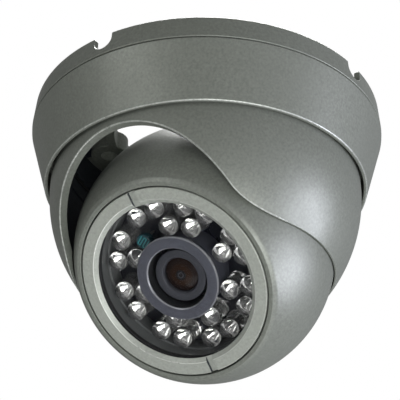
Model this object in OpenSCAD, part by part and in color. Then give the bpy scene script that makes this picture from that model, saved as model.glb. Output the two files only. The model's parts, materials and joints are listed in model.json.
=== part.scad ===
// Metal eyeball dome camera. It hangs from its base plate: the ceiling face is the plane z = 0.
// The eyeball looks towards -Y and down. The shell pans about Z and the eyeball tilts about X.

/* [Base] */
// Radius of the base plate at the ceiling face
base_r = 46.5; // [46.2:0.1:46.9]
// Radius of the seam between base plate and trim ring
seam_r = 47.2; // [47:0.1:47.6]
// Depth of the base plate's rim
base_h = 6.5; // [6.2:0.1:6.8]
// Radius of the cable opening through the base plate
opening_r = 25; // [24:0.5:25.5]
// Width of a cable notch in the rim
notch_w = 5.6; // [5:0.1:6.4]
// Depth of a cable notch below the ceiling face
notch_h = 4.6; // [4:0.1:4.8]
// Radius of the circle of ceiling screw holes
mount_r = 28.5; // [28:0.5:29]

/* [Trim ring] */
// Outer radius of the trim ring at its lower edge
ring_low_r = 42.9; // [42.8:0.1:43.2]
// Depth of the trim ring's lower edge below the ceiling
ring_low = 23.1; // [22.6:0.1:23.4]

/* [Dome shell] */
// Outer radius of the spherical shell
shell_r = 41.3; // [41.2:0.1:41.4]
// Depth of the shell's sphere centre below the ceiling
shell_depth = 25.4; // [25.2:0.1:25.6]
// Wall of the shell
shell_wall = 2.3; // [2.1:0.1:2.4]
// Depth of the shell's lower edge below the ceiling
shell_low = 48.6; // [48.2:0.1:48.7]
// Radius of the arch of the viewing slot
slot_r = 27.6; // [27:0.1:28]
// Depth of the arch's centre below the ceiling
slot_depth = 52.7; // [52.4:0.1:53]
// Radius that blends the arch into the lower edge
slot_blend = 7.7; // [7:0.1:8]

/* [Eyeball] */
// Outer radius of the eyeball
ball_r = 34.1; // [34:0.05:34.15]
// Depth of the eyeball's centre and tilt axis below the ceiling
ball_depth = 41.8; // [41.7:0.1:41.9]
// Angle of the view below the horizontal, in degrees
tilt = 48.5; // [20:0.5:85]
// Distance of the bezel's face from the eyeball's centre
face_q = 20.4; // [20.2:0.1:20.6]
// Outer radius of the bezel's face
bezel_r = 25.45; // [25.2:0.05:25.5]
// Inner radius of the bezel's face
bezel_in_r = 22.3; // [22:0.1:22.5]

/* [Camera and lamps] */
// Radius of the outer circle of lamps
led_outer_r = 18.3; // [18.2:0.1:18.4]
// Radius of the inner circle of lamps
led_inner_r = 13.1; // [13.1:0.05:13.15]
// Front of the lens hood, from the eyeball's centre
hood_front = 17.9; // [17.5:0.1:17.9]
// Front of the lens barrel, from the eyeball's centre
lens_front = 15.6; // [15:0.1:16]

/* [Hidden] */
$fn = 96;
eps = 0.01;
far = 60;

// Base
web = 3;
rim_in_r = 43.4;
skirt_in_r = 36.6;
skirt_out_r = 38.4;
skirt_low = 11.3;
mount_hole_r = 2.25;
mount_angles = [75, 195, 315];
boss_r = 5;
ring_screw_at = 40.9;
ring_screw_angles = [60, 180, 300];
ring_screw_r = 1.25;
ring_head_r = 2.4;
ring_head_h = 1.3;
ring_boss_low = 10.8;
ring_boss_r = 2.2;
ring_screw_low = 9.3;
recess_w = 0.6;
opening_lip = 2.5;
notch_angles = [270, 0];
channel_w = 18;
channel_r = 44.9;
stop_w = 5;
post_r = 34.4;
post_d = 2.4;
post_low = 13.2;
tab_r = 34.8;
tab_d = 3.4;
tab_low = 14.2;
tab_h = 1.8;

// Trim ring and its bearing stack
ledge_top = 14.6;
ledge_low = 16.2;
ledge_r = 40.75;
lip_in_r = 41.95;
edge_round = 0.7;
flange_r = 43;
flange_top = 12.3;
flange_low = 13.8;
bearing_gap = 0.05;
shell_bore_r = 37.4;
shell_bore_low = 16;
glide_r = 43.1;
friction_r = 42.8;
friction_in_r = 37;

// Pivots on the tilt axis
pivot_r = 2;
pivot_clear = 0.05;
pivot_boss_r = 6;
pivot_face = 31.6;
pivot_floor = 31.2;
pivot_in = 26.5;
pivot_out = 36.2;
ball_clear = 0.35;
blend_cross = 0.06;

// Eyeball
ball_wall = 2.5;
split_q = -10;
cap_r = 33.8;
cap_in_r = 31.3;
cap_seal_h = 0.6;
cap_spigot_r = 29.6;
cap_spigot_in_r = 28.2;
cap_seal_r = 32.2;
cap_flat = -33;
gland_r = 4;
gland_bore_r = 2.5;
gland_lip_h = 1.8;
gland_collar_low = -30.5;
gland_top = -29.4;
thread_r = 24.9;
lip_r = 26.9;
bezel_bore_r = 25.85;
bezel_skirt_low = 13.8;
bezel_skirt_in_r = 23.5;
bezel_hole_r = 21.2;
spanner_w = 2;
spanner_h = 0.7;
bezel_step = 18.4;
board_seat = 6.2;
board_h = 1.6;
board_top = board_seat + board_h;
tube_r = 27.4;
ledge_q = 3.5;
seat_in_r = 22.5;
cap_screw_at = 25.3;
cap_screw_angles = [90, 210, 330];
cap_screw_end = -4;
front_boss_r = 2.6;
cap_head_q = -17.5;
cap_head_r = 2.1;
cap_head_h = 1.5;
cap_boss_r = 2.8;
cap_spigot_low = 2;
cap_spigot_high = 1.8;
glass_low = 18;
glass_top = 19.4;
glass_r = 23.2;
gasket_low = 16.6;
gasket_r = 23.4;
gasket_in_r = 21.6;
spacer_r = 24.7;
spacer_in_r = 21.4;
spacer_neck_r = 23.3;
spacer_neck_in_r = 21.9;
spacer_step_low = 12.5;
spacer_step_high = 13.5;
lamp_board_in_r = 8.6;

// Lens and its holder
hood_foot_r = 10.25;
hood_foot_in_r = 8.8;
hood_r = 11.4;
hood_in_r = 8.15;
hood_waist = 14.5;
lens_head_r = 7;
lens_head_low = 9.4;
lens_thread_r = 5.9;
lens_low = 0.6;
lens_bore_r = 4.2;
lens_seat = 12.6;
lens_cone_r = 5;
lens_cone_h = 0.7;
lens_stop_r = 3;
front_lens_top = 14.8;
front_lens_dome = 8;
rear_lens_r = 3.95;
rear_lens_low = 1;
rear_lens_top = 2.8;
holder_r = 7.6;
holder_top = 7.3;
holder_foot = 15;
ear_at = 9.5;
ear_r = 2.8;
ear_screw_r = 0.9;
sensor_w = 9.6;
sensor_h = 1.4;
sensor_room = 10.4;

// Boards
screw_r = 1.25;
board_hole_r = 1.4;
pillar_r = 3;
spacer_hex_r = 2.7;
pcb = 38;
pcb_round = 3;
pcb_hole = 15.5;
main_low = -4.6;
main_top = main_low + board_h;
power_low = -15.6;
power_top = power_low + board_h;

// Lamps: eight groups of two outer lamps and one inner lamp, with two inner lamps moved for the photocell
led_r = 2.5;
led_flange_r = 2.75;
led_flange_h = 1;
led_h = 8.7;
led_group = 8;
led_pair = 9.5;
led_inner_angles = [8, 53, 81, 145, 188, 233, 278, 323];
photocell_angle = 124.5;
photocell_r = 2.1;
photocell_gap = 3.2;
photocell_h = 2;
die_r = 1.1;
die_h = 0.5;
die_q = 3.2;

function polar(r, a) = [r * cos(a), r * sin(a), 0];

module tube(r_out, r_in, low, high) {
    difference() {
        translate([0, 0, low]) cylinder(h = high - low, r = r_out);
        translate([0, 0, low - 1]) cylinder(h = high - low + 2, r = r_in);
    }
}

module disc(r, low, high) {
    translate([0, 0, low]) cylinder(h = high - low, r = r);
}

module block(size, low, high) {
    translate([-size[0] / 2, -size[1] / 2, low]) cube([size[0], size[1], high - low]);
}

// Places a piece that is drawn along the view axis, with its origin at the eyeball's centre
module in_eyeball() {
    translate([0, 0, -ball_depth]) rotate([90 + tilt, 0, 0]) children();
}

module both_sides() {
    children();
    mirror([1, 0, 0]) children();
}

// A cylinder on the tilt axis, from x = low to x = high
module on_pivot(r, low, high) {
    translate([low, 0, 0]) rotate([0, 90, 0]) cylinder(h = high - low, r = r);
}

module at_four(d) {
    for (x = [-d, d], y = [-d, d]) translate([x, y, 0]) children();
}

// ---- Base body ----

// A U-shaped notch through the rim, and the wider channel that leads from it to the opening
module cable_notch() {
    rotate([90, 0, 0]) linear_extrude(height = far) union() {
        translate([0, notch_w / 2 - notch_h]) circle(r = notch_w / 2);
        translate([-notch_w / 2, notch_w / 2 - notch_h]) square([notch_w, notch_h]);
    }
    translate([-channel_w / 2, -channel_r, -notch_h]) cube([channel_w, channel_r, notch_h + 1]);
}

module base_plate() {
    color("dimgray") difference() {
        union() {
            difference() {
                translate([0, 0, -base_h]) cylinder(h = base_h, r1 = seam_r, r2 = base_r);
                disc(rim_in_r, -base_h - 1, -web);
            }
            tube(opening_r + opening_lip, opening_r, -base_h + 1, -web / 2);
            tube(skirt_out_r, skirt_in_r, -skirt_low, -web / 2);
            for (a = mount_angles) translate(polar(mount_r, a)) disc(boss_r, -base_h + 1, -eps);
            translate([-stop_w / 2, post_r, -post_low]) cube([stop_w, post_d, post_low - web / 2]);
        }
        difference() {
            disc(opening_r, -base_h, 1);
            for (a = mount_angles) translate(polar(mount_r, a)) disc(boss_r, -base_h - 1, 2);
        }
        for (a = mount_angles) translate(polar(mount_r, a)) disc(mount_hole_r, -base_h - 1, 1);
        for (a = ring_screw_angles) translate(polar(ring_screw_at, a)) {
            disc(ring_screw_r + 0.2, -web - 1, 1);
            translate([0, 0, -ring_head_h - 0.1]) cylinder(h = ring_head_h + 0.1 + eps,
                r1 = ring_screw_r + 0.2, r2 = ring_head_r + 0.2);
        }
        for (a = notch_angles) rotate([0, 0, a + 90]) cable_notch();
    }
}

module ring_profile() {
    difference() {
        polygon([
            [rim_in_r, -base_h], [seam_r, -base_h], [ring_low_r, -ring_low],
            [lip_in_r, -ring_low], [lip_in_r, -ledge_low], [ledge_r, -ledge_low],
            [ledge_r, -ledge_top], [rim_in_r, -ledge_top]
        ]);
        translate([ring_low_r - edge_round + 0.05, -ring_low - eps]) difference() {
            square([2, edge_round]);
            translate([-0.05, edge_round]) circle(r = edge_round);
        }
    }
}

module trim_ring() {
    color("dimgray") difference() {
        union() {
            rotate_extrude() ring_profile();
            for (a = ring_screw_angles) rotate([0, 0, a]) {
                translate([ring_screw_at, 0, 0]) disc(ring_boss_r, -ring_boss_low, -web);
                translate([ring_screw_at + 1, -2, -ring_boss_low]) cube([3, 4, ring_boss_low - base_h - 0.2]);
            }
        }
        for (a = ring_screw_angles) translate(polar(ring_screw_at, a))
            disc(ring_screw_r, -ring_screw_low - 0.2, 1);
    }
}

module ring_screws() {
    color("silver") for (a = ring_screw_angles) translate(polar(ring_screw_at, a)) difference() {
        union() {
            disc(ring_screw_r, -ring_screw_low, -ring_head_h + eps);
            translate([0, 0, -ring_head_h])
                cylinder(h = ring_head_h - 0.1, r1 = ring_screw_r, r2 = ring_head_r);
        }
        for (t = [0, 90]) rotate([0, 0, t]) block([3, recess_w], -0.9, 1);
    }
}

module glide_ring() {
    color("white") tube(glide_r, ledge_r + 0.15, -ledge_top, -flange_low - bearing_gap);
}

module friction_ring() {
    color("black") tube(friction_r, friction_in_r, -flange_top + bearing_gap, -skirt_low);
}

// ---- Shell body ----

// The arch, its two blends and the lower edge cross at a slight angle, so that no two are tangent
module slot_profile() {
    blend_z = slot_blend - shell_low - blend_cross;
    blend_x = sqrt(pow(slot_r + slot_blend - blend_cross, 2) - pow(blend_z + slot_depth, 2));
    translate([0, -slot_depth]) circle(r = slot_r);
    difference() {
        polygon([
            [0, -slot_depth], [blend_x, blend_z], [blend_x, -far],
            [-blend_x, -far], [-blend_x, blend_z]
        ]);
        for (s = [-1, 1]) translate([s * blend_x, blend_z]) circle(r = slot_blend);
    }
}

module shell_profile() {
    difference() {
        intersection() {
            translate([0, -shell_depth]) circle(r = shell_r);
            translate([0, -shell_low]) square([far, shell_low - flange_top]);
        }
        translate([0, -shell_depth]) circle(r = shell_r - shell_wall);
        translate([0, -ball_depth]) circle(r = ball_r + ball_clear);
        translate([0, -shell_bore_low]) square([shell_bore_r, shell_bore_low]);
    }
    translate([shell_bore_r, -flange_low]) square([flange_r - shell_bore_r, flange_low - flange_top]);
}

module dome_shell() {
    color("dimgray") difference() {
        union() {
            difference() {
                rotate_extrude() shell_profile();
                rotate([90, 0, 0]) linear_extrude(height = far) slot_profile();
            }
            intersection() {
                translate([0, 0, -ball_depth]) both_sides() on_pivot(pivot_boss_r, pivot_face, far);
                translate([0, 0, -shell_depth]) sphere(r = shell_r - 1);
            }
            translate([-stop_w / 2, -tab_r - tab_d, -tab_low]) cube([stop_w, tab_d, tab_h]);
        }
        translate([0, 0, -ball_depth]) both_sides() on_pivot(pivot_r, pivot_face - 1, pivot_out);
    }
}

module pivot_pins() {
    color("silver") translate([0, 0, -ball_depth]) both_sides() on_pivot(pivot_r, pivot_in, pivot_out);
}

module pivot_washers() {
    color("white") translate([0, 0, -ball_depth]) both_sides() difference() {
        on_pivot(pivot_boss_r - 0.2, pivot_floor + bearing_gap, pivot_face);
        on_pivot(pivot_r + 0.05, pivot_floor - 1, pivot_face + 1);
    }
}

// ---- Eyeball body ----

module front_housing() {
    color("dimgray") in_eyeball() difference() {
        union() {
            difference() {
                intersection() {
                    sphere(r = ball_r);
                    disc(far, split_q, face_q);
                    // The 45 degree chamfer around the lip
                    translate([0, 0, face_q - far]) cylinder(h = far, r1 = far + lip_r, r2 = lip_r);
                }
                difference() {
                    sphere(r = ball_r - ball_wall);
                    disc(tube_r, ledge_q, far);
                    both_sides() on_pivot(pivot_boss_r + 2, pivot_in - 1.5, far);
                }
            }
            at_four(pcb_hole) disc(pillar_r, main_top, ledge_q + 1);
            for (a = cap_screw_angles) translate(polar(cap_screw_at, a))
                disc(front_boss_r, split_q, ledge_q + 1);
        }
        disc(bezel_bore_r, bezel_step, far);
        disc(thread_r, board_seat, far);
        disc(seat_in_r, ledge_q - 1 + eps, far);
        both_sides() on_pivot(pivot_boss_r + 0.6, pivot_floor, far);
        both_sides() on_pivot(pivot_r + pivot_clear, pivot_in - 0.5, far);
        at_four(pcb_hole) disc(screw_r, main_top - 1, 2.5);
        for (a = cap_screw_angles) translate(polar(cap_screw_at, a))
            disc(screw_r, split_q - 1, cap_screw_end + 0.5);
    }
}

module rear_cap() {
    cap_top = split_q - cap_seal_h;
    color("dimgray") in_eyeball() difference() {
        union() {
            difference() {
                intersection() {
                    sphere(r = cap_r);
                    disc(far, cap_flat, cap_top);
                }
                sphere(r = cap_in_r);
            }
            tube(cap_spigot_r, cap_spigot_in_r, split_q - cap_spigot_low, split_q + cap_spigot_high);
            intersection() {
                sphere(r = cap_r - 1);
                for (a = cap_screw_angles) translate(polar(cap_screw_at, a)) disc(cap_boss_r, -far, cap_top);
            }
        }
        disc(gland_r + 0.05, -far, 0);
        for (a = cap_screw_angles) translate(polar(cap_screw_at, a)) {
            disc(screw_r + 0.15, -far, 0);
            disc(cap_head_r + 0.15, -far, cap_head_q);
        }
    }
}

module cap_seal() {
    color("black") in_eyeball() tube(cap_seal_r, cap_spigot_r + 0.5, split_q - cap_seal_h, split_q);
}

module cap_screws() {
    color("silver") in_eyeball() for (a = cap_screw_angles) translate(polar(cap_screw_at, a)) difference() {
        union() {
            disc(screw_r, cap_head_q - eps, cap_screw_end);
            disc(cap_head_r, cap_head_q - cap_head_h, cap_head_q);
        }
        for (t = [0, 90]) rotate([0, 0, t]) block([2.8, recess_w], cap_head_q - 2, cap_head_q - 0.8);
    }
}

module cable_gland() {
    color("black") in_eyeball() difference() {
        union() {
            disc(gland_r, cap_flat - 0.1, gland_collar_low + 0.5);
            translate([0, 0, cap_flat - gland_lip_h]) cylinder(h = gland_lip_h, r1 = 4.6, r2 = 5.5);
            disc(gland_r + 1, gland_collar_low, gland_top);
        }
        disc(gland_bore_r, -far, 0);
    }
}

module bezel_ring() {
    color("gray") in_eyeball() difference() {
        rotate_extrude() polygon([
            [bezel_in_r, face_q], [bezel_r - 0.25, face_q], [bezel_r, face_q - 0.25],
            [bezel_r, bezel_step + 0.1], [thread_r - 0.1, bezel_step + 0.1],
            [thread_r - 0.1, bezel_skirt_low], [bezel_skirt_in_r, bezel_skirt_low],
            [bezel_skirt_in_r, glass_top], [bezel_hole_r, glass_top], [bezel_hole_r, glass_top + 0.1]
        ]);
        for (s = [-1, 1]) translate([-spanner_w / 2, s * (bezel_skirt_in_r + 0.5) - 3, face_q - spanner_h])
            cube([spanner_w, 6, 3]);
    }
}

module front_glass() {
    color("lightcyan", 0.3) in_eyeball() disc(glass_r, glass_low, glass_top);
}

module glass_gasket() {
    color("black") in_eyeball() tube(gasket_r, gasket_in_r, gasket_low, glass_low);
}

module lamp_spacer() {
    color("black") in_eyeball() rotate_extrude() polygon([
        [spacer_in_r, board_top], [spacer_r, board_top], [spacer_r, spacer_step_high],
        [spacer_neck_r, spacer_step_high], [spacer_neck_r, gasket_low], [spacer_neck_in_r, gasket_low],
        [spacer_neck_in_r, spacer_step_low], [spacer_in_r, spacer_step_low]
    ]);
}

module ir_board() {
    color("midnightblue") in_eyeball() tube(spacer_r, lamp_board_in_r, board_seat, board_top);
}

// One 5 mm lamp, standing on the lamp board: flange, body and domed tip, with a pocket for its die
module led() {
    dome_q = board_top + led_h - led_r;
    difference() {
        union() {
            disc(led_flange_r, board_top, board_top + led_flange_h);
            disc(led_r, board_top, dome_q);
            translate([0, 0, dome_q]) sphere(r = led_r);
        }
        disc(die_r, board_top - 1, board_top + die_q);
    }
}

module at_leds() {
    for (k = [0:7], s = [-1, 1]) translate(polar(led_outer_r, led_group + 45 * k + s * led_pair)) children();
    for (a = led_inner_angles) translate(polar(led_inner_r, a)) children();
}

module ir_leds() {
    color("white", 0.5) in_eyeball() at_leds() led();
}

// The metal cup and chip in the foot of each lamp
module led_dies() {
    color("silver") in_eyeball() at_leds() difference() {
        disc(die_r - 0.05, board_top, board_top + die_q - 0.1);
        translate([0, 0, board_top + die_q - die_h]) cylinder(h = die_h, r1 = 0.4, r2 = die_r - 0.2);
    }
}

module photocell() {
    color("teal") in_eyeball() translate(polar(led_inner_r, photocell_angle)) {
        disc(photocell_r, board_top + photocell_gap, board_top + photocell_gap + photocell_h);
        for (s = [-1, 1]) translate([s * 1.3, 0, 0]) disc(0.3, board_top, board_top + photocell_gap + 0.1);
    }
}

module lens_hood() {
    color("darkslategray") in_eyeball() rotate_extrude() polygon([
        [hood_foot_in_r, board_top], [hood_foot_r, board_top], [hood_foot_r, hood_waist],
        [hood_r, hood_front - 0.4], [hood_r - 0.3, hood_front], [hood_in_r + 0.25, hood_front],
        [hood_in_r, hood_front - 0.3], [hood_in_r, hood_waist], [hood_foot_in_r, hood_waist - 1.5]
    ]);
}

module lens_barrel() {
    color("black") in_eyeball() difference() {
        union() {
            disc(lens_head_r, lens_head_low, lens_front);
            disc(lens_thread_r, lens_low, lens_head_low + 0.1);
        }
        disc(lens_bore_r, lens_seat, far);
        translate([0, 0, lens_front - lens_cone_h])
            cylinder(h = lens_cone_h + eps, r1 = lens_bore_r, r2 = lens_cone_r);
        disc(lens_stop_r, 0, lens_seat + 0.4);
        disc(rear_lens_r + 0.05, 0, rear_lens_top + 0.2);
    }
}

module lens_front_element() {
    color("black", 0.6) in_eyeball() intersection() {
        disc(lens_bore_r - 0.05, lens_seat + 0.1, lens_front);
        translate([0, 0, front_lens_top - front_lens_dome]) sphere(r = front_lens_dome);
    }
}

module lens_rear_element() {
    color("black", 0.6) in_eyeball() disc(rear_lens_r, rear_lens_low, rear_lens_top);
}

module lens_lock_ring() {
    color("black") in_eyeball() tube(7.2, lens_thread_r + 0.1, holder_top + 0.1, lens_head_low - 0.8);
}

module lens_holder() {
    color("black") in_eyeball() difference() {
        union() {
            disc(holder_r, -2, holder_top);
            block([holder_foot, holder_foot], main_top, 1.5);
            for (s = [-1, 1]) translate([s * ear_at, 0, 0]) disc(ear_r, main_top, 0);
            block([2 * ear_at, 2 * ear_r], main_top, 0);
        }
        disc(lens_thread_r + 0.1, 0.2, far);
        block([sensor_room, sensor_room], main_top - 1, 0.5);
        for (s = [-1, 1]) translate([s * ear_at, 0, 0]) disc(ear_screw_r, main_top - 1, 1);
    }
}

module holder_screws() {
    color("silver") in_eyeball() for (s = [-1, 1]) translate([s * ear_at, 0, 0]) {
        disc(ear_screw_r, main_low - 0.1, -0.6);
        disc(1.7, main_low - 1.1, main_low);
    }
}

module image_sensor() {
    color("black") in_eyeball() block([sensor_w, sensor_w], main_top, main_top + sensor_h);
}

module board_blank(low) {
    d = pcb / 2 - pcb_round;
    block([pcb, 2 * d], low, low + board_h);
    block([2 * d, pcb], low, low + board_h);
    at_four(d) disc(pcb_round, low, low + board_h);
}

module main_board() {
    color("darkgreen") in_eyeball() difference() {
        board_blank(main_low);
        at_four(pcb_hole) disc(board_hole_r, -far, far);
        for (s = [-1, 1]) translate([s * ear_at, 0, 0]) disc(ear_screw_r + 0.05, -far, far);
    }
}

module board_chips() {
    color("black") in_eyeball() {
        translate([0, 2, 0]) block([10, 10], main_low - 1.2, main_low);
        translate([-11, -9, 0]) block([6, 4], main_low - 1, main_low);
        translate([11, -10, 0]) block([5, 5], main_low - 1.6, main_low);
        translate([0, -14, 0]) block([7, 3], main_low - 1, main_low);
    }
}

module board_spacers() {
    color("goldenrod") in_eyeball() at_four(pcb_hole) difference() {
        translate([0, 0, power_top]) cylinder(h = main_low - power_top, r = spacer_hex_r, $fn = 6);
        disc(screw_r, power_top - 1, power_top + 5);
        disc(screw_r, main_low - 3, main_low + 1);
    }
}

module power_board() {
    color("darkgreen") in_eyeball() difference() {
        board_blank(power_low);
        at_four(pcb_hole) disc(board_hole_r, -far, far);
    }
}

module power_parts() {
    color("black") in_eyeball() {
        translate([-9, 6, 0]) disc(3.1, power_top, power_top + 5.6);
        translate([-9, -6, 0]) disc(2.4, power_top, power_top + 5);
        translate([7, 5, 0]) block([8, 8], power_top, power_top + 4);
        translate([8, -8, 0]) block([5, 4], power_top, power_top + 2);
    }
}

module board_screws() {
    color("silver") in_eyeball() at_four(pcb_hole) {
        disc(screw_r - 0.05, power_low - 0.1, power_top + 3.5);
        disc(2.3, power_low - 1.3, power_low);
        disc(screw_r - 0.05, main_low - 2, 1.5);
    }
}

module lead_connector() {
    color("ivory") in_eyeball() difference() {
        block([14, 6], power_low - 6, power_low);
        block([12.4, 4.4], power_low - 7, power_low - 1.2);
    }
}

base_plate();
trim_ring();
ring_screws();
glide_ring();
friction_ring();
dome_shell();
pivot_pins();
pivot_washers();
front_housing();
rear_cap();
cap_seal();
cap_screws();
cable_gland();
bezel_ring();
front_glass();
glass_gasket();
lamp_spacer();
ir_board();
ir_leds();
led_dies();
photocell();
lens_hood();
lens_barrel();
lens_front_element();
lens_rear_element();
lens_lock_ring();
lens_holder();
holder_screws();
image_sensor();
main_board();
board_chips();
board_spacers();
power_board();
power_parts();
board_screws();
lead_connector();
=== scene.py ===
import bpy
import bmesh
import json
import math
from mathutils import Matrix, Vector


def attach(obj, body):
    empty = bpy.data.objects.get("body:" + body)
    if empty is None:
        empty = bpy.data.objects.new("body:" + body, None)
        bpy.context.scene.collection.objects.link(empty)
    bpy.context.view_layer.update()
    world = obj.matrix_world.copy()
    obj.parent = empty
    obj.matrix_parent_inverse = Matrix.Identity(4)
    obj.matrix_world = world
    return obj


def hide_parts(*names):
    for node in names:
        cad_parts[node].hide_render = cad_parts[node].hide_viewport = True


# Looks of the dome camera: detailed visible pieces, materials, light and the camera

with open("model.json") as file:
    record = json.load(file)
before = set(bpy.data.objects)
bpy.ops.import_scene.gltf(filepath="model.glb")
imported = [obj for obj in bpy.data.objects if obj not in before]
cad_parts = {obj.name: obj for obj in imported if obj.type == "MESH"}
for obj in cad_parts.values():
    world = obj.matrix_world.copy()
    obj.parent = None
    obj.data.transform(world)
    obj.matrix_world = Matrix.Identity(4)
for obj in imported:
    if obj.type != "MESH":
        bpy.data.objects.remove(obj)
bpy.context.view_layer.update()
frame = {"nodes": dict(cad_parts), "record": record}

MM = 0.001
SEGMENTS, FINE_SEGMENTS = 192, 256
# Angles from which an edge is sharp or gets a bevel, how much flat faces weigh, and the weld distance
CREASE, BEVEL_FROM, FLAT_WEIGHT, WELD = 35, 38, 80, 0.00002

# The design's driving sizes, in millimetres and degrees: depths below the ceiling face, then, from
# FACE_Q on, heights along the view axis from the eyeball's centre
BASE_R, SEAM_R, BASE_H, RIM_IN = 46.5, 47.2, 6.5, 43.4
RING_LOW_R, RING_LOW = 42.9, 23.1
STOP_W = 2.5
SHELL_R, SHELL_WALL, SHELL_DEPTH, SHELL_LOW = 41.3, 2.3, 25.4, 48.6
SLOT_R, SLOT_DEPTH, SLOT_BLEND = 27.6, 52.7, 7.7
BALL_R, BALL_DEPTH, TILT = 34.1, 41.8, 48.5
FACE_Q, BEZEL_R, BEZEL_IN_R = 20.4, 25.45, 22.3
BOARD_TOP, LED_H, LED_R = 7.8, 8.7, 2.5
LED_OUTER_R, LED_INNER_R, LED_GROUP, LED_PAIR = 18.3, 13.1, 8, 9.5
LED_INNER_ANGLES = [8, 53, 81, 145, 188, 233, 278, 323]
PHOTOCELL_ANGLE = 124.5
HOOD_FRONT, LENS_FRONT = 17.9, 15.6

# From the eyeball's own frame (+Z along the view axis) to the model's frame
EYEBALL = Matrix.Translation((0, 0, -BALL_DEPTH)) @ Matrix.Rotation(math.radians(90 + TILT), 4, "X")
MODEL = Matrix.Identity(4)
# Turns an outline that is drawn seen from the front to face -Y
UPRIGHT = Matrix.Rotation(math.radians(90), 4, "X")


# ---- Camera ----

def make_camera():
    """The view from below and to the right of the front, at half a metre."""
    azimuth, elevation, roll = math.radians(35.37), math.radians(-31.65), math.radians(1.08)
    aim_right, aim_up = -0.00276, 0.00777
    distance, look_at = 0.5, Vector((0, 0, -0.030))
    back = Vector((math.sin(azimuth) * math.cos(elevation),
                   -math.cos(azimuth) * math.cos(elevation), math.sin(elevation)))
    right = Vector((math.cos(azimuth), math.sin(azimuth), 0))
    up = back.cross(right)
    cam_right = right * math.cos(roll) + up * math.sin(roll)
    cam_up = up * math.cos(roll) - right * math.sin(roll)
    forward = (-back + cam_right * aim_right + cam_up * aim_up).normalized()
    cam_right = forward.cross(cam_up).normalized()
    cam_up = cam_right.cross(forward)
    data = bpy.data.cameras.new("view")
    data.lens = 170.3
    data.sensor_width = 36
    data.clip_start, data.clip_end = 0.01, 100
    camera = bpy.data.objects.new("view", data)
    bpy.context.scene.collection.objects.link(camera)
    turn = Matrix((cam_right, cam_up, -forward)).transposed().to_4x4()
    camera.matrix_world = Matrix.Translation(look_at + back * distance) @ turn
    bpy.context.scene.camera = camera


make_camera()


# ---- Materials ----

def shade(name, color, rough=0.5, metallic=0.0, grain=900, bump=0.1, vary=0.1, rough_vary=0.1,
          cloud=60, wear=0.0, **sockets):
    """A Principled material: fine grain in bump and colour, slow clouds in tone and gloss, edge wear."""
    wear_color, wear_from, wear_to = (0.6, 0.6, 0.58), 0.515, 0.57
    cloud_depth, relief_height, mirror_limit = 0.8, 0.0001, 0.02
    mat = bpy.data.materials.new(name)
    mat.use_nodes = True
    nodes, links = mat.node_tree.nodes, mat.node_tree.links
    shader = nodes["Principled BSDF"]
    place = nodes.new("ShaderNodeTexCoord")

    def noise(scale, detail):
        node = nodes.new("ShaderNodeTexNoise")
        node.inputs["Scale"].default_value = scale
        node.inputs["Detail"].default_value = detail
        links.new(place.outputs["Object"], node.inputs["Vector"])
        return node.outputs["Fac"]

    def spread(source, to_min, to_max, from_min=0.3, from_max=0.7):
        node = nodes.new("ShaderNodeMapRange")
        node.inputs["From Min"].default_value = from_min
        node.inputs["From Max"].default_value = from_max
        node.inputs["To Min"].default_value = to_min
        node.inputs["To Max"].default_value = to_max
        links.new(source, node.inputs["Value"])
        return node.outputs["Result"]

    def blend(factor, a, b):
        node = nodes.new("ShaderNodeMix")
        node.data_type = "RGBA"
        links.new(factor, node.inputs[0])
        slots = [s for s in node.inputs if s.type == "RGBA"]
        for socket, value in zip(slots, (a, b)):
            if isinstance(value, tuple):
                socket.default_value = (*value, 1)
            else:
                links.new(value, socket)
        return [s for s in node.outputs if s.type == "RGBA"][0]

    fine, slow = noise(grain, 3), noise(cloud, 4)
    dark = tuple(c * (1 - vary) for c in color)
    light = tuple(min(1, c * (1 + vary)) for c in color)
    clouded = tuple(c * (1 - vary * cloud_depth) for c in color)
    tone = blend(spread(fine, 0.0, 1.0), dark, light)
    tone = blend(spread(slow, 0.0, 0.5), tone, clouded)
    if wear:
        edge = nodes.new("ShaderNodeNewGeometry").outputs["Pointiness"]
        tone = blend(spread(edge, 0.0, wear, wear_from, wear_to), tone, wear_color)
    links.new(tone, shader.inputs["Base Color"])
    gloss = spread(slow, max(mirror_limit, rough - rough_vary), rough + rough_vary)
    links.new(gloss, shader.inputs["Roughness"])
    relief = nodes.new("ShaderNodeBump")
    relief.inputs["Strength"].default_value = bump
    relief.inputs["Distance"].default_value = relief_height
    links.new(fine, relief.inputs["Height"])
    links.new(relief.outputs["Normal"], shader.inputs["Normal"])
    shader.inputs["Metallic"].default_value = metallic
    for socket, value in sockets.items():
        shader.inputs[socket.replace("_", " ")].default_value = value
    return mat


PAINT = shade("olive_grey_paint", (0.170, 0.183, 0.160), rough=0.40, metallic=0.30, grain=1500, bump=0.30,
              vary=0.18, rough_vary=0.05)
BEZEL_PAINT = shade("bezel_paint", (0.325, 0.345, 0.310), rough=0.42, metallic=0.30, grain=1600, bump=0.25,
                    vary=0.14, rough_vary=0.05)
# A lighter paint for rounded edges: a painted highlight along them
EDGE_HIGHLIGHT = shade("painted_edge_highlight", (0.36, 0.38, 0.35), rough=0.34, metallic=0.45, grain=1300, bump=0.2,
                   vary=0.35, cloud=160)
# A glossier, much lighter paint for the hood's rounded front edges: the gloss is the material's, the lighter
# colour a painted highlight
HOOD_EDGE_HIGHLIGHT = shade("hood_edge_painted_highlight", (0.38, 0.39, 0.42), rough=0.20, metallic=0.5, grain=1500, bump=0.15, vary=0.2)
# Near-black paint for the inside and for hollows: painted shade
INSIDE_SHADE = shade("painted_inside_shade", (0.022, 0.026, 0.034), rough=0.5, metallic=0.1, grain=900, bump=0.2,
                     vary=0.3)
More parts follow.
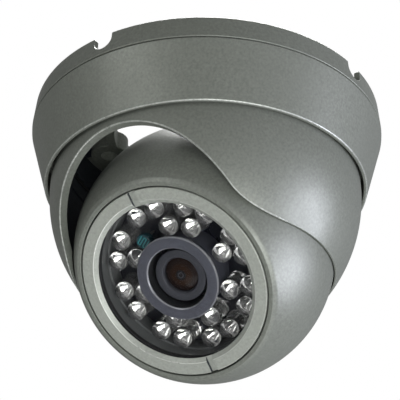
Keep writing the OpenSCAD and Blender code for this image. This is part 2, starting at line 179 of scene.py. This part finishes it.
# A light metallic paint for the bezel's inner chamfer: a painted highlight
CHAMFER_HIGHLIGHT = shade("painted_chamfer_highlight", (0.62, 0.64, 0.60), rough=0.30, metallic=0.55, grain=1200, bump=0.15,
                    vary=0.15)
GREY_PLASTIC = shade("dark_grey_plastic", (0.100, 0.106, 0.106), rough=0.45, grain=1100, bump=0.14)
STEEL = shade("zinc_steel", (0.50, 0.50, 0.50), rough=0.30, metallic=1.0, grain=700, bump=0.08, wear=0.2)
NYLON = shade("natural_nylon", (0.62, 0.60, 0.54), rough=0.50, grain=500, bump=0.06, vary=0.05)
RUBBER = shade("black_rubber", (0.012, 0.012, 0.013), rough=0.62, grain=900, bump=0.15)
BLACK_PLASTIC = shade("black_plastic", (0.016, 0.017, 0.019), rough=0.48, grain=1100, bump=0.14)
BOARD_BLACK = shade("black_mask", (0.006, 0.007, 0.013), rough=0.30, grain=420, bump=0.12, vary=0.4)
BOARD_GREEN = shade("green_mask", (0.010, 0.075, 0.030), rough=0.32, grain=380, bump=0.14, vary=0.35)
HOOD = shade("hood_rubber", (0.056, 0.060, 0.078), rough=0.52, grain=1500, bump=0.35, vary=0.28,
             rough_vary=0.06)
BLACK_METAL = shade("black_anodised", (0.050, 0.053, 0.064), rough=0.38, metallic=0.4, grain=1300, bump=0.10)
CHIP = shade("moulded_epoxy", (0.018, 0.018, 0.020), rough=0.45, grain=1200, bump=0.12)
BRASS = shade("bare_brass", (0.55, 0.38, 0.13), rough=0.28, metallic=1.0, grain=800, bump=0.06)
IVORY = shade("ivory_nylon", (0.68, 0.63, 0.50), rough=0.45, grain=600, bump=0.06, vary=0.05)
TEAL = shade("photocell_ceramic", (0.006, 0.045, 0.058), rough=0.25, grain=900, bump=0.05, Coat_Weight=0.6)
TRACK = shade("photocell_track", (0.02, 0.28, 0.31), rough=0.35, grain=900, bump=0.05)
CUP = shade("silver_plate", (0.92, 0.92, 0.90), rough=0.12, metallic=1.0, grain=900, bump=0.10, vary=0.08)
RESIN = shade("clear_resin", (0.97, 0.98, 0.97), rough=0.04, grain=260, bump=0.05, vary=0.01,
              rough_vary=0.015, Transmission_Weight=0.94, IOR=1.45)
WINDOW = shade("window_glass", (0.010, 0.012, 0.014), rough=0.03, grain=30, bump=0.002, rough_vary=0.005,
               Alpha=0.04)
OPTIC = shade("coated_lens", (0.012, 0.007, 0.006), rough=0.10, grain=60, bump=0.0, rough_vary=0.01,
              Specular_IOR_Level=0.12)
OPTIC_RING = shade("lens_inner_ring", (0.020, 0.010, 0.006), rough=0.10, grain=60, bump=0.0,
                   rough_vary=0.02, Specular_IOR_Level=0.12)
# Near-black for the lens's centre: painted shade of the dark inside
PUPIL_SHADE = shade("lens_pupil_painted_shade", (0.003, 0.002, 0.003), rough=0.08, grain=60, bump=0.0, rough_vary=0.01)

SLOT_FINISH = {
    "housing_paint": PAINT, "bezel_paint": BEZEL_PAINT, "steel": STEEL, "nylon": NYLON, "rubber": RUBBER,
    "window_glass": WINDOW, "black_plastic": BLACK_PLASTIC, "black_board": BOARD_BLACK, "lamp_resin": RESIN,
    "lamp_metal": CUP, "photocell_face": TEAL, "hood_rubber": HOOD, "black_metal": BLACK_METAL,
    "lens_glass": OPTIC, "chip_plastic": CHIP, "green_board": BOARD_GREEN, "brass": BRASS,
    "ivory_plastic": IVORY,
}


def finish_cad_nodes():
    """Every carried-over CAD node takes its slot's material."""
    slot_of = {s["node"]: s["material_slot"] for s in frame["record"]["subparts"]}
    for name, obj in frame["nodes"].items():
        obj.data.materials.clear()
        obj.data.materials.append(SLOT_FINISH[slot_of[name]])


# ---- Mesh helpers ----

def rounded(points, radius):
    """A closed profile with its corners turned to arcs. A point's third value is its own radius."""
    shortest, straight, most, steps = 1e-4, 1.55, 0.45, 4
    out = []
    count = len(points)
    for i, point in enumerate(points):
        here = Vector(point[:2])
        before, after = Vector(points[i - 1][:2]) - here, Vector(points[(i + 1) % count][:2]) - here
        want = point[2] if len(point) > 2 else radius
        half = before.angle(after) / 2
        reach = 0
        if half < straight:
            reach = min(want / math.tan(half), before.length * most, after.length * most)
        if reach < shortest:
            out.append(tuple(here))
            continue
        bend = reach * math.tan(half)
        centre = here + (before.normalized() + after.normalized()).normalized() * (bend / math.sin(half))
        start, end = here + before.normalized() * reach - centre, here + after.normalized() * reach - centre
        a0, a1 = math.atan2(start.y, start.x), math.atan2(end.y, end.x)
        sweep = (a1 - a0 + math.pi) % (2 * math.pi) - math.pi
        for k in range(steps + 1):
            a = a0 + sweep * k / steps
            out.append((centre.x + bend * math.cos(a), centre.y + bend * math.sin(a)))
    return out


def rod(radius, low, high):
    """The profile of a plain rod, for lathe."""
    return [(0, low), (radius, low), (radius, high), (0, high)]


def box(x_low, x_high, y_low, y_high):
    """The outline of a rectangle, for prism."""
    return [(x_low, y_low), (x_high, y_low), (x_high, y_high), (x_low, y_high)]


def on_circle(radius, angle):
    return radius * math.cos(angle), radius * math.sin(angle)


def polar(radius, degrees):
    return on_circle(radius, math.radians(degrees))


def spot_at(radius, degrees):
    """The place of a small piece on a circle about Z."""
    return Matrix.Translation((*polar(radius, degrees), 0))


def across(depth, side):
    """The place of a piece that points left (-1) or right (1) along the tilt axis at that depth."""
    return Matrix.Translation((0, 0, -depth)) @ Matrix.Rotation(math.radians(90 * side), 4, "Y")


def to_data(name, mesh, outward=True):
    """Ends a bmesh as mesh data, with its normals outward unless they are already."""
    if outward:
        bmesh.ops.recalc_face_normals(mesh, faces=mesh.faces)
    data = bpy.data.meshes.new(name)
    mesh.to_mesh(data)
    mesh.free()
    return data


def add(name, mesh, place, material, angle=CREASE):
    """Links a mesh drawn in millimetres as an object in the model's frame, in metres."""
    mesh.transform(Matrix.Scale(MM, 4) @ place)
    mesh.update()
    obj = bpy.data.objects.new(name, mesh)
    bpy.context.scene.collection.objects.link(obj)
    mesh.materials.append(material)
    for face in mesh.polygons:
        face.use_smooth = True
    mesh.set_sharp_from_angle(angle=math.radians(angle))
    return obj


def lathe_mesh(name, profile, segments=SEGMENTS):
    """Turns a closed profile of (radius, height) points about Z. Points on the axis become one vertex."""
    mesh = bmesh.new()
    rings = []
    for r, z in profile:
        if r < 1e-6:
            rings.append([mesh.verts.new((0, 0, z))])
            continue
        turn = [2 * math.pi * k / segments for k in range(segments)]
        rings.append([mesh.verts.new((*on_circle(r, a), z)) for a in turn])
    for lower, upper in zip(rings, rings[1:] + rings[:1]):
        if len(lower) == 1 and len(upper) == 1:
            continue
        for k in range(segments):
            n = (k + 1) % segments
            corners = [lower[k % len(lower)], lower[n % len(lower)],
                       upper[n % len(upper)], upper[k % len(upper)]]
            mesh.faces.new(list(dict.fromkeys(corners)))
    return to_data(name, mesh)


def lathe(name, profile, place, material, segments=SEGMENTS):
    return add(name, lathe_mesh(name, profile, segments), place, material)


def arc(centre_z, radius, z_from, z_to, steps):
    """Points of a circle about (0, centre_z), from one height to another, on its right side."""
    out = []
    for k in range(steps + 1):
        z = z_from + (z_to - z_from) * k / steps
        out.append((math.sqrt(max(0, radius ** 2 - (z - centre_z) ** 2)), z))
    return out


def prism(name, outline, low, high):
    """An outline of (x, y) points, drawn from z = low to z = high."""
    mesh = bmesh.new()
    bottom = [mesh.verts.new((x, y, low)) for x, y in outline]
    top = [mesh.verts.new((x, y, high)) for x, y in outline]
    mesh.faces.new(bottom)
    mesh.faces.new(top)
    for k in range(len(outline)):
        n = (k + 1) % len(outline)
        mesh.faces.new((bottom[k], bottom[n], top[n], top[k]))
    return to_data(name, mesh)


def block(name, outline, low, high, place, material=PAINT):
    return add(name, prism(name, outline, low, high), place, material)


def merge(name, meshes, place, material):
    """One piece of many small meshes."""
    whole = bmesh.new()
    for mesh in meshes:
        whole.from_mesh(mesh)
        bpy.data.meshes.remove(mesh)
    return add(name, to_data(name, whole, outward=False), place, material)


def smooth_flats(obj):
    """Keeps flat faces flat beside rounded edges."""
    for face in obj.data.polygons:
        face.use_smooth = True
    obj.data.set_sharp_from_angle(angle=math.radians(CREASE))
    weigh = obj.modifiers.new("weigh", "WEIGHTED_NORMAL")
    weigh.keep_sharp = True
    weigh.weight = FLAT_WEIGHT
    apply_modifiers(obj)


def combine(obj, others, operation):
    """Joins the others to a piece, or keeps only what they share with it."""
    for other in others:
        step = obj.modifiers.new("combine", "BOOLEAN")
        step.operation, step.solver, step.object = operation, "EXACT", other
    apply_modifiers(obj)
    for other in others:
        bpy.data.objects.remove(other)


def paint_where(obj, place, material, test):
    """Gives another material to the faces that pass the test.

    The test takes their radius, height and normal, in the piece's own frame.
    """
    obj.data.materials.append(material)
    back = (Matrix.Scale(MM, 4) @ place).inverted()
    unturn = place.to_3x3().inverted()
    for face in obj.data.polygons:
        c = back @ face.center
        if test(math.hypot(c.x, c.y), c.z, unturn @ face.normal):
            face.material_index = len(obj.data.materials) - 1


def apply_modifiers(obj):
    bpy.context.view_layer.update()
    evaluated = obj.evaluated_get(bpy.context.evaluated_depsgraph_get())
    mesh = bpy.data.meshes.new_from_object(evaluated)
    obj.modifiers.clear()
    old = obj.data
    obj.data = mesh
    bpy.data.meshes.remove(old)


def carve(obj, cutters, bevel=0.0):
    """Cuts the cutters out of a piece and rounds the sharp edges that this leaves, in a lighter paint that
    is a painted highlight.
    """
    obj.data.materials.append(EDGE_HIGHLIGHT)
    for cutter in cutters:
        cut = obj.modifiers.new("cut", "BOOLEAN")
        cut.operation, cut.solver, cut.object = "DIFFERENCE", "EXACT", cutter
    if bevel:
        weld = obj.modifiers.new("weld", "WELD")
        weld.merge_threshold = WELD
        edge = obj.modifiers.new("edge", "BEVEL")
        edge.width, edge.segments = bevel * MM, 3
        edge.limit_method, edge.angle_limit = "ANGLE", math.radians(BEVEL_FROM)
        edge.use_clamp_overlap = True
        # The bevel faces take the lighter edge paint, a painted highlight
        edge.material = 1
    apply_modifiers(obj)
    for cutter in cutters:
        bpy.data.objects.remove(cutter)
    smooth_flats(obj)


def put(obj, body, slot, *nodes):
    """Hands a piece to its body, in place of the CAD nodes named. The slot is not used."""
    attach(obj, body)
    if nodes:
        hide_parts(*nodes)


# ---- Base ----

def notch_outline(width, depth, steps=16, flare=0.5, flare_steps=6, above=2):
    """The U of a cable notch, with lips that flare where it meets the ceiling face."""
    r = width / 2
    pts = [(r * math.cos(a), r - depth + r * math.sin(a))
           for a in (math.pi + math.pi * k / steps for k in range(steps + 1))]
    right = [(r + flare * (1 - math.cos(t)), -flare + flare * math.sin(t))
             for t in (math.pi / 2 * k / flare_steps for k in range(flare_steps + 1))]
    left = [(-x, y) for x, y in reversed(right)]
    return pts + right + [(r + flare, above), (-r - flare, above)] + left


def make_base_plate():
    web, opening, hub_wall, hub_low = 3, 25, 2.5, 5.5
    skirt_in, skirt_out, skirt_low = 36.6, 38.4, 11.3
    profile = rounded([
        (opening, 0, 0.5), (BASE_R, 0, 0.55), (SEAM_R, -BASE_H, 0.25), (RIM_IN, -BASE_H), (RIM_IN, -web),
        (skirt_out, -web), (skirt_out, -skirt_low), (skirt_in, -skirt_low), (skirt_in, -web),
        (opening + hub_wall, -web), (opening + hub_wall, -hub_low), (opening, -hub_low)], 0.2)
    plate = lathe("base_plate_shaped", profile, MODEL, PAINT)
    bosses, cuts = [], []
    boss_circle, boss_r, hole_r, boss_top, boss_sides = 28.5, 5, 2.25, -0.05, 48
    for a in (75, 195, 315):
        spot = spot_at(boss_circle, a)
        bosses.append(lathe("boss", rounded(rod(boss_r, boss_top, -hub_low), 0.3), spot, PAINT, boss_sides))
        cuts.append(lathe("hole", rod(hole_r, 1, -7), spot, PAINT, boss_sides))
    sink_circle, head_r, shank_r, sink_depth = 40.9, 3.6, 1.45, 1.4
    sink = [(0, 1), (head_r, 1), (shank_r, -sink_depth), (shank_r, -4), (0, -4)]
    for a in (60, 180, 300):
        cuts.append(lathe("sink", sink, spot_at(sink_circle, a), PAINT, boss_sides))
    notch_width, notch_depth, notch_from, channel_half, channel_r, channel_in = 5.6, 4.6, 43, 9, 44.9, 20
    for a in (0, 90):
        turn = Matrix.Rotation(math.radians(a), 4, "Z")
        cuts.append(block("notch", notch_outline(notch_width, notch_depth), notch_from, 60, turn @ UPRIGHT))
        cuts.append(block("channel", box(-channel_half, channel_half, -channel_r, -channel_in),
                          -notch_depth, 1, turn))
    post_in, post_out, post_low, post_top, dark_from = 34.4, 36.8, 13.2, 1.2, 34.2
    post = block("post", box(-STOP_W, STOP_W, post_in, post_out), -post_low, -post_top, MODEL)
    combine(plate, bosses + [post], "UNION")
    carve(plate, cuts, 0.12)
    # The underside between skirt and rim in near-black: painted shade
    paint_where(plate, MODEL, INSIDE_SHADE,
                lambda r, z, n: z < -web + 0.1 and dark_from < r < RIM_IN - 0.1)
    put(plate, "base", "housing_paint", "base_plate")


def make_trim_ring():
    ledge_top, ledge_low, ledge_r, lip_in = 14.6, 16.2, 40.75, 41.95
    seam, seam_depth, highlight_band = 0.34, 0.9, 0.3
    profile = [(RIM_IN, -BASE_H), (SEAM_R - seam_depth, -BASE_H), (SEAM_R - seam_depth, -BASE_H - seam),
               (SEAM_R, -BASE_H - seam, 0.25), (RING_LOW_R, -RING_LOW, 0.6),
               (lip_in, -RING_LOW, 0.25), (lip_in, -ledge_low), (ledge_r, -ledge_low), (ledge_r, -ledge_top),
               (RIM_IN, -ledge_top)]
    ring = lathe("trim_ring_shaped", rounded(profile, 0.15), MODEL, PAINT, FINE_SEGMENTS)
    smooth_flats(ring)
    # Bands of lighter edge paint on the lower rim and under the top seam: painted highlights
    paint_where(ring, MODEL, EDGE_HIGHLIGHT, lambda r, z, n: z < -RING_LOW + highlight_band and r > RING_LOW_R - highlight_band)
    paint_where(ring, MODEL, EDGE_HIGHLIGHT, lambda r, z, n: z > -BASE_H - seam - 0.2 and r > SEAM_R - 0.25)
    put(ring, "base", "housing_paint", "trim_ring")


# ---- Shell ----

def slot_outline(steps=48, blend_steps=24):
    """The viewing slot, seen from the front: an arch that two blends carry over into the lower edge."""
    blend_y = SLOT_BLEND - SHELL_LOW
    blend_x = math.sqrt((SLOT_R + SLOT_BLEND) ** 2 - (blend_y + SLOT_DEPTH) ** 2)
    meet = math.atan2(blend_y + SLOT_DEPTH, blend_x)
    arch = [on_circle(SLOT_R, math.pi / 2 + (meet - math.pi / 2) * k / steps) for k in range(steps + 1)]
    arch = [(x, y - SLOT_DEPTH) for x, y in arch]
    blend = [(blend_x - SLOT_BLEND * math.cos(t), blend_y - SLOT_BLEND * math.sin(t))
             for t in (meet + (math.pi / 2 - 0.02 - meet) * k / blend_steps
                       for k in range(1, blend_steps + 1))]
    right = arch + blend + [(blend_x, -SHELL_LOW - 8)]
    left = [(-x, y) for x, y in reversed(right[1:])]
    return right + left


def slot_bead(bead=0.26, inset=0.17, sides=10):
    """The rounded lip along the slot's outer edge, in the lighter paint of a painted highlight."""
    outline = slot_outline(96)
    ball = Vector((0, 0, -SHELL_DEPTH))
    on_shell = SHELL_R - inset
    arch_foot = SLOT_R * 0.6 - SLOT_DEPTH
    points = []
    for k in range(len(outline)):
        here, before, after = (Vector(outline[(k + d) % len(outline)]) for d in (0, -1, 1))
        along = (after - before).normalized()
        out = Vector((-along.y, along.x))
        if out.dot(here - Vector((0, -SLOT_DEPTH))) < 0 and here.y > arch_foot:
            out = -out
        inner = here + out * inset
        span = on_shell ** 2 - inner.x ** 2 - (inner.y + SHELL_DEPTH) ** 2
        if span > 4 and inner.y > -SHELL_LOW + 0.2:
            points.append(Vector((inner.x, -math.sqrt(span), inner.y)))
    start = max(range(len(points)), key=lambda k: (points[k] - points[k - 1]).length)
    points = points[start:] + points[:start]
    tube = bmesh.new()
    rings = []
    for k, point in enumerate(points):
        ahead = (points[min(k + 1, len(points) - 1)] - points[max(k - 1, 0)]).normalized()
        normal = (point - ball).normalized()
        side = ahead.cross(normal).normalized()
        normal = side.cross(ahead)
        turns = [2 * math.pi * j / sides for j in range(sides)]
        rings.append([tube.verts.new(point + side * bead * math.cos(a) + normal * bead * math.sin(a))
                      for a in turns])
    for a, b in zip(rings, rings[1:]):
        for j in range(sides):
            tube.faces.new((a[j], a[(j + 1) % sides], b[(j + 1) % sides], b[j]))
    tube.faces.new(rings[0])
    tube.faces.new(rings[-1])
    return add("slot_lip", to_data("slot_lip", tube), MODEL, EDGE_HIGHLIGHT, 60)


def make_dome_shell():
    flange_r, flange_top, flange_low, bore, bore_low = 43, 12.3, 13.8, 37.4, 16
    inner_r, clear_r, cross = SHELL_R - SHELL_WALL, BALL_R + 0.35, 44
    outside = arc(-SHELL_DEPTH, SHELL_R, -flange_low, -SHELL_LOW, 60)
    seat = arc(-BALL_DEPTH, clear_r, -SHELL_LOW, -cross, 10)
    inside = arc(-SHELL_DEPTH, inner_r, -cross, -bore_low, 48)
    profile = outside + seat + inside[1:] + [
        (bore, -bore_low), (bore, -flange_top), (flange_r, -flange_top), (flange_r, -flange_low)]
    shell = lathe("dome_shell_shaped", profile, MODEL, PAINT, FINE_SEGMENTS)
    carve(shell, [block("slot", slot_outline(), 0, 60, UPRIGHT)], 0.35)
    centre = Matrix.Translation((0, 0, -SHELL_DEPTH))
    # The shell's inside in near-black: painted shade
    paint_where(shell, centre, INSIDE_SHADE, lambda r, z, n: math.hypot(r, z) < inner_r + 0.15)
    put(slot_bead(), "shell", "housing_paint")
    boss_in, boss_out, boss_r, skin, boss_sides = 31.6, 41, 6, 1, 64
    limit_arc = arc(0, SHELL_R - skin, skin - SHELL_R, SHELL_R - skin, 64)
    for name, side in (("pivot_boss_left", -1), ("pivot_boss_right", 1)):
        boss = lathe(name, rounded(rod(boss_r, boss_in, boss_out), 0.2), across(BALL_DEPTH, side), PAINT,
                     boss_sides)
        combine(boss, [lathe("limit", limit_arc, centre, PAINT, 128)], "INTERSECT")
        put(boss, "shell", "housing_paint")
    tab_in, tab_out, tab_low, tab_top = 34.8, 38.2, 14.2, 12.4
    tab = block("stop_tab", box(-STOP_W, STOP_W, -tab_out, -tab_in), -tab_low, -tab_top, MODEL)
    put(tab, "shell", "housing_paint")
    put(shell, "shell", "housing_paint", "dome_shell")


# ---- Eyeball ----

def make_front_housing():
    rim_out, rim_in, bezel_seat, bore, shelf, shelf_in = 26.95, 25.85, 18.4, 24.9, 6.2, 22.5
    lip = arc(0, BALL_R, -10, FACE_Q - 0.55, 64)
    profile = lip + rounded([
        (lip[-1][0], lip[-1][1], 0.0), (rim_out, FACE_Q, 0.35), (rim_in, FACE_Q, 0.18),
        (rim_in, bezel_seat, 0.1), (bore, bezel_seat, 0.1), (bore, shelf, 0.1), (shelf_in, shelf, 0.1),
        (shelf_in, 3.5, 0.1), (27.4, 3.5, 0.1), (27.4, 15.7, 0.1), (29.97, -10, 0.0)], 0.1)[1:]
    housing = lathe("front_housing_shaped", profile, EYEBALL, PAINT, FINE_SEGMENTS)
    recess_r, recess_from = 6.6, 31.2
    cuts = [lathe("recess", rod(recess_r, recess_from, 60), EYEBALL @ across(0, side), PAINT, 64)
            for side in (-1, 1)]
    carve(housing, cuts, 0.25)
    put(housing, "eyeball", "housing_paint", "front_housing")


def make_bezel():
    """The screwed-in ring, with the window, gasket and spacer behind it."""
    skirt_out, skirt_in, skirt_low, bezel_seat = 24.8, 23.5, 13.8, 18.5
    glass_r, glass_low, glass_top, lip_in = 23.2, 18.0, 19.4, 21.2
    profile = rounded([
        (BEZEL_IN_R, FACE_Q, 0.3), (BEZEL_R, FACE_Q, 0.28), (BEZEL_R, bezel_seat), (skirt_out, bezel_seat),
        (skirt_out, skirt_low), (skirt_in, skirt_low), (skirt_in, glass_top), (lip_in, glass_top),
        (lip_in, glass_top + 0.15, 0.05)], 0.08)
    bezel = lathe("bezel_ring_shaped", profile, EYEBALL, BEZEL_PAINT)
    slot_half, slot_in, slot_out, slot_depth = 1, 21, 27, 0.9
    cuts = [block("spanner_slot", box(-slot_half, slot_half, side * slot_in, side * slot_out),
                  FACE_Q - slot_depth, FACE_Q + 1, EYEBALL, BEZEL_PAINT) for side in (-1, 1)]
    carve(bezel, cuts, 0.08)
    # The spanner slots' side walls in near-black: painted shade
    paint_where(bezel, EYEBALL, INSIDE_SHADE, lambda r, q, n: (
        abs(n.x) > 0.9 and abs(n.z) < 0.3 and 22 < r < 25.4 and q > FACE_Q - slot_depth))
    # The inner chamfer in light paint: a painted highlight
    paint_where(bezel, EYEBALL, CHAMFER_HIGHLIGHT, lambda r, q, n: 21.95 < r < 22.5 and q > 19.95)
    put(bezel, "eyeball", "bezel_paint", "bezel_ring")
    glass = lathe("front_window", rounded([
        (0, glass_low), (glass_r, glass_low, 0.2), (glass_r, glass_top, 0.2), (0, glass_top)], 0.0),
        EYEBALL, WINDOW)
    put(glass, "eyeball", "window_glass", "front_glass")
    gasket_in, gasket_out, gasket_low = 21.6, 23.4, 16.6
    gasket = lathe("gasket_shaped", rounded(box(gasket_in, gasket_out, gasket_low, glass_low), 0.25),
                   EYEBALL, RUBBER)
    put(gasket, "eyeball", "rubber", "glass_gasket")
    spacer = lathe("lamp_spacer_shaped", rounded([
        (21.4, BOARD_TOP), (24.7, BOARD_TOP), (24.7, 13.5), (23.3, 13.5), (23.3, gasket_low),
        (21.9, gasket_low), (21.9, 12.5), (21.4, 12.5)], 0.15), EYEBALL, GREY_PLASTIC)
    put(spacer, "eyeball", "black_plastic", "lamp_spacer")


def lamp_places():
    """The radius and angle of each lamp: eight outer pairs and the inner ones."""
    for k in range(8):
        for s in (-1, 1):
            yield LED_OUTER_R, LED_GROUP + 45 * k + s * LED_PAIR
    for a in LED_INNER_ANGLES:
        yield LED_INNER_R, a


def make_lamps():
    """Each lamp: a clear flanged body with a domed tip, round a reflector cup and two posts."""
    top, flange_top, flange_r, dome_steps = BOARD_TOP + LED_H, BOARD_TOP + 1, 2.75, 14
    body_sides, cup_sides, spin = 40, 28, 7
    flange = rounded([(0, BOARD_TOP), (flange_r, BOARD_TOP), (flange_r, flange_top, 0.15),
                      (LED_R, flange_top, 0.1)], 0.1)
    dome = [(LED_R * math.cos(t), top - LED_R + LED_R * math.sin(t))
            for t in (math.pi / 2 * k / dome_steps for k in range(dome_steps))] + [(0, top)]
    cup_low = BOARD_TOP + 3.9
    cup = [(0, cup_low + 0.3), (0.4, cup_low + 0.3), (1.25, cup_low + 1.1), (1.5, cup_low + 1.1),
           (1.3, cup_low - 0.2), (0.6, cup_low - 0.6), (0, cup_low - 0.6)]
    post_x, post_half, post_low, post_top = 0.7, 0.25, BOARD_TOP + 0.2, cup_low - 0.55
    bodies, metal = [], []
    for r, a in lamp_places():
        spot = spot_at(r, a) @ Matrix.Rotation(math.radians(a * spin), 4, "Z")
        bodies.append(lathe_mesh("lamp", flange + dome, body_sides))
        metal.append(lathe_mesh("cup", cup, cup_sides))
        small = [bodies[-1], metal[-1]]
        for side, half in ((-1, 0.55), (1, 0.35)):
            x = side * post_x
            post = prism("post", box(x - half, x + half, -post_half, post_half), post_low, post_top)
            metal.append(post)
            small.append(post)
        for mesh in small:
            mesh.transform(spot)
    put(merge("lamp_bodies", bodies, EYEBALL, RESIN), "eyeball", "lamp_resin", "ir_leds")
    put(merge("lamp_cups", metal, EYEBALL, CUP), "eyeball", "lamp_metal", "led_dies")


def make_photocell():
    """The light sensor: a ceramic disc on two legs, with its sensing track of rows and links."""
    spot = EYEBALL @ spot_at(LED_INNER_R, PHOTOCELL_ANGLE) @ Matrix.Rotation(math.radians(35), 4, "Z")
    radius, low, high = 2.1, BOARD_TOP + 3.2, BOARD_TOP + 5.2
    cell = lathe("photocell_shaped", rounded([(0, low), (radius, low), (radius, high, 0.3), (0, high)], 0.1),
                 spot, TEAL, 48)
    put(cell, "eyeball", "photocell_face", "photocell")
    rows, pitch, half, line = 4, 0.75, 1.2, 0.14
    track_low, track_top = high - 0.02, high + 0.05
    strips = []
    for k in range(rows):
        v = (k - (rows - 1) / 2) * pitch
        strips.append(prism("row", box(-half, half, v - line, v + line), track_low, track_top))
        if k < rows - 1:
            side = half if k % 2 else -half
            strips.append(prism("link", box(side - line, side + line, v, v + pitch), track_low, track_top))
    put(merge("photocell_track", strips, spot, TRACK), "eyeball", "photocell_face")
    leg_r, leg_x = 0.3, 1.3
    legs = []
    for side in (-1, 1):
        legs.append(lathe_mesh("leg", rod(leg_r, BOARD_TOP, low + 0.1), 16))
        legs[-1].transform(Matrix.Translation((side * leg_x, 0, 0)))
    put(merge("photocell_legs", legs, spot, STEEL), "eyeball", "steel")


def make_lens():
    """The collar round the lens, the lens barrel and its front glass."""
    foot_in, foot_out, mouth_in, cone_from, edge = 8.8, 10.25, 8.15, 14.5, HOOD_FRONT - 0.5
    hood = lathe("lens_hood_shaped", rounded([
        (foot_in, BOARD_TOP), (foot_out, BOARD_TOP), (foot_out, cone_from, 0.8), (11.4, edge, 0.3),
        (11.0, HOOD_FRONT, 0.2), (8.5, HOOD_FRONT, 0.25), (mouth_in, HOOD_FRONT - 0.4, 0.2),
        (mouth_in, cone_from), (foot_in, 13)], 0.15), EYEBALL, HOOD)
    # The hood's inner wall in black plastic: painted shade
    paint_where(hood, EYEBALL, BLACK_PLASTIC, lambda r, q, n: q < edge and r < 9)
    # The hood's front edges in the lighter paint: painted highlights
    paint_where(hood, EYEBALL, HOOD_EDGE_HIGHLIGHT, lambda r, q, n: q > edge and (r < 8.35 or r > 11.15))
    put(hood, "eyeball", "hood_rubber", "lens_hood")
    bore_r, head_r, head_low, thread_r, thread_low = 4.65, 7, 9.4, 5.9, 0.6
    barrel = lathe("lens_barrel_shaped", rounded([
        (0, 12.6), (bore_r, 12.6), (bore_r, 15.1), (5.0, LENS_FRONT, 0.12), (head_r, LENS_FRONT, 0.3),
        (head_r, head_low, 0.2), (thread_r, head_low), (thread_r, thread_low, 0.2), (0, thread_low)], 0.05),
        EYEBALL, BLACK_METAL)
    put(barrel, "eyeball", "black_metal", "lens_barrel")
    dome, top, glass_r, glass_low, steps = 10, 15.5, 4.6, 13, 24
    turns = [math.asin(glass_r / dome) * k / steps for k in range(steps + 1)]
    glass = [(dome * math.sin(t), top - dome + dome * math.cos(t)) for t in turns]
    element = lathe("lens_front_shaped", glass + [(glass_r, glass_low), (0, glass_low)], EYEBALL, OPTIC, 96)
    # The front glass is opaque: its near-black centre is painted shade of the dark inside of the lens, the
    # faint lighter ring in it a painted reflection, with a dark brown band round them
    pupil_r, ring_r = 1.3, 2.9
    paint_where(element, EYEBALL, OPTIC_RING, lambda r, q, n: pupil_r < r < ring_r)
    paint_where(element, EYEBALL, PUPIL_SHADE, lambda r, q, n: r < pupil_r)
    paint_where(element, EYEBALL, BLACK_METAL, lambda r, q, n: 0.6 < r < 0.85)
    put(element, "eyeball", "lens_glass", "lens_front_element")


finish_cad_nodes()
make_base_plate()
make_trim_ring()
make_dome_shell()
make_front_housing()
make_bezel()
make_lamps()
make_photocell()
make_lens()


# ---- Stage and light ----

def make_stage():
    """A pale floor, and a white world that lights the object less than it shows behind it."""
    floor_half, floor_low, floor_top, backdrop, ambient = 4, -1.22, -1.2, 1.0, 0.24
    mesh = prism("floor", box(-floor_half, floor_half, -floor_half, floor_half), floor_low, floor_top)
    floor = bpy.data.objects.new("floor", mesh)
    bpy.context.scene.collection.objects.link(floor)
    mesh.materials.append(shade("pale_floor", (0.80, 0.80, 0.79), rough=0.7, grain=40, bump=0.02, vary=0.01))
    world = bpy.data.worlds.new("studio")
    bpy.context.scene.world = world
    world.use_nodes = True
    nodes, links = world.node_tree.nodes, world.node_tree.links
    path, level = nodes.new("ShaderNodeLightPath"), nodes.new("ShaderNodeMapRange")
    level.inputs["To Min"].default_value, level.inputs["To Max"].default_value = ambient, backdrop
    links.new(path.outputs["Is Camera Ray"], level.inputs["Value"])
    links.new(level.outputs["Result"], nodes["Background"].inputs["Strength"])
    nodes["Background"].inputs["Color"].default_value = (1, 1, 1, 1)


def area_light(name, where, aim, size, power, color=(1, 1, 1)):
    """A round lamp in metres and watts, aimed at a point."""
    data = bpy.data.lights.new(name, "AREA")
    data.shape, data.size, data.energy, data.color = "DISK", size, power, color
    light = bpy.data.objects.new(name, data)
    bpy.context.scene.collection.objects.link(light)
    light.location = where
    light.rotation_mode = "QUATERNION"
    light.rotation_quaternion = (Vector(aim) - Vector(where)).to_track_quat("-Z", "Y")


make_stage()
area_light("key", (0.80, -0.50, -1.15), (0, 0, -0.04), 1.3, 28.0, (1.0, 1.0, 0.99))
area_light("side", (1.05, 0.60, -0.35), (0, 0, -0.04), 0.9, 18.0, (0.86, 0.86, 1.0))
area_light("fill", (-0.2, -1.1, 0.1), (0, 0, -0.04), 0.8, 2.6)
area_light("low", (-0.1, 0.1, -1.1), (0, 0, -0.04), 0.9, 3.0)
area_light("top", (-0.05, 0.2, 0.55), (0, 0, -0.01), 0.35, 6.0)

bpy.context.scene.view_settings.view_transform = "Standard"
